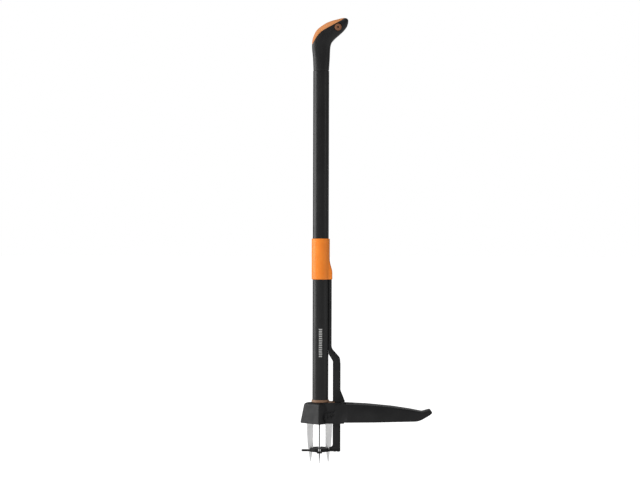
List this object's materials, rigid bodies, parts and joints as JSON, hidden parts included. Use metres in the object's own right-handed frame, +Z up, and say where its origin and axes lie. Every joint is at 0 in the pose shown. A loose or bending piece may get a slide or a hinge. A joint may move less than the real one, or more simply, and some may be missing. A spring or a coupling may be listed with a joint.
{
  "type": "stand up weeder",
  "caption": "Long-handled weed puller with a foot pedal that closes serrated claws and a sliding ejector with a star plate.",
  "frame": {"origin": "on the shaft's axis, at the head's flat underside", "axes": "+Z up the shaft to the handle, +X along the foot pedal, +Y to the rear"},
  "size_m": [0.295, 0.08, 0.9978],
  "materials": {
    "powder_coat": "satin black powder coat",
    "black_plastic": "black glass-filled nylon, matt",
    "orange_plastic": "satin orange plastic",
    "stainless": "brushed stainless steel",
    "zinc": "zinc-plated steel",
    "spring_steel": "spring steel"
  },
  "bodies": {
    "head_and_shaft": {"shaft_tube": "powder_coat", "shaft_plug": "black_plastic", "shaft_cross_pin": "zinc", "handle_body": "black_plastic", "handle_grip_pad": "orange_plastic", "hang_eyelet": "orange_plastic", "handle_screw": "zinc", "shaft_collar": "orange_plastic", "housing_cover": "black_plastic", "rod_guide": "black_plastic", "base_plate": "powder_coat", "claw_carrier": "zinc", "base_screw_1": "zinc", "base_screw_2": "zinc", "base_screw_3": "zinc", "base_screw_4": "zinc", "claw_pin_left": "zinc", "claw_pin_front": "zinc", "claw_pin_rear": "zinc", "return_spring": "spring_steel", "pedal_pin": "powder_coat", "pedal_pin_clip": "spring_steel"},
    "pedal": {"pedal_body": "black_plastic", "pedal_peg_front": "powder_coat", "pedal_peg_rear": "powder_coat"},
    "claw_drive": {"claw_actuator": "zinc"},
    "ejector": {"slider_sleeve": "orange_plastic", "ejector_rod": "black_plastic", "ejector_plate": "powder_coat", "slider_screw_upper": "zinc", "slider_screw_lower": "zinc", "plate_screw_inner": "zinc", "plate_screw_outer": "zinc"},
    "claw_left_body": {"claw_left": "stainless"},
    "claw_right_body": {"claw_right": "stainless"},
    "claw_front_body": {"claw_front": "stainless"},
    "claw_rear_body": {"claw_rear": "stainless"}
  },
  "joints": [
    {"name": "pedal_pivot", "type": "hinge", "parent": "head_and_shaft", "child": "pedal", "pos_m": [0.0205, 0, 0.015], "axis": [0, -1, 0], "range_deg": [0, 25], "stiffness_Nm_per_rad": 0.4, "springref_deg": -28.65},
    {"name": "actuator_slide", "type": "slide", "parent": "head_and_shaft", "child": "claw_drive", "axis": [0, 0, 1], "range_m": [0, 0.0028], "deforming": ["return_spring"]},
    {"name": "claw_left_pivot", "type": "hinge", "parent": "head_and_shaft", "child": "claw_left_body", "pos_m": [-0.0245, 0, 0.015], "axis": [0, -1, 0], "range_deg": [0, 9.8]},
    {"name": "claw_right_pivot", "type": "hinge", "parent": "head_and_shaft", "child": "claw_right_body", "pos_m": [0.0205, 0, 0.015], "axis": [0, 1, 0], "range_deg": [0, 9.8]},
    {"name": "claw_front_pivot", "type": "hinge", "parent": "head_and_shaft", "child": "claw_front_body", "pos_m": [-0.002, -0.0225, 0.015], "axis": [1, 0, 0], "range_deg": [0, 9.8]},
    {"name": "claw_rear_pivot", "type": "hinge", "parent": "head_and_shaft", "child": "claw_rear_body", "pos_m": [-0.002, 0.0225, 0.015], "axis": [-1, 0, 0], "range_deg": [0, 9.8]},
    {"name": "ejector_slide", "type": "slide", "parent": "head_and_shaft", "child": "ejector", "axis": [0, 0, 1], "range_m": [0, 0.05]}
  ],
  "couplings": [
    {"joint": "actuator_slide", "follows": "pedal_pivot", "m_per_rad": 0.0064},
    {"joint": "claw_left_pivot", "follows": "pedal_pivot", "ratio": 0.39},
    {"joint": "claw_right_pivot", "follows": "pedal_pivot", "ratio": 0.39},
    {"joint": "claw_front_pivot", "follows": "pedal_pivot", "ratio": 0.39},
    {"joint": "claw_rear_pivot", "follows": "pedal_pivot", "ratio": 0.39}
  ]
}
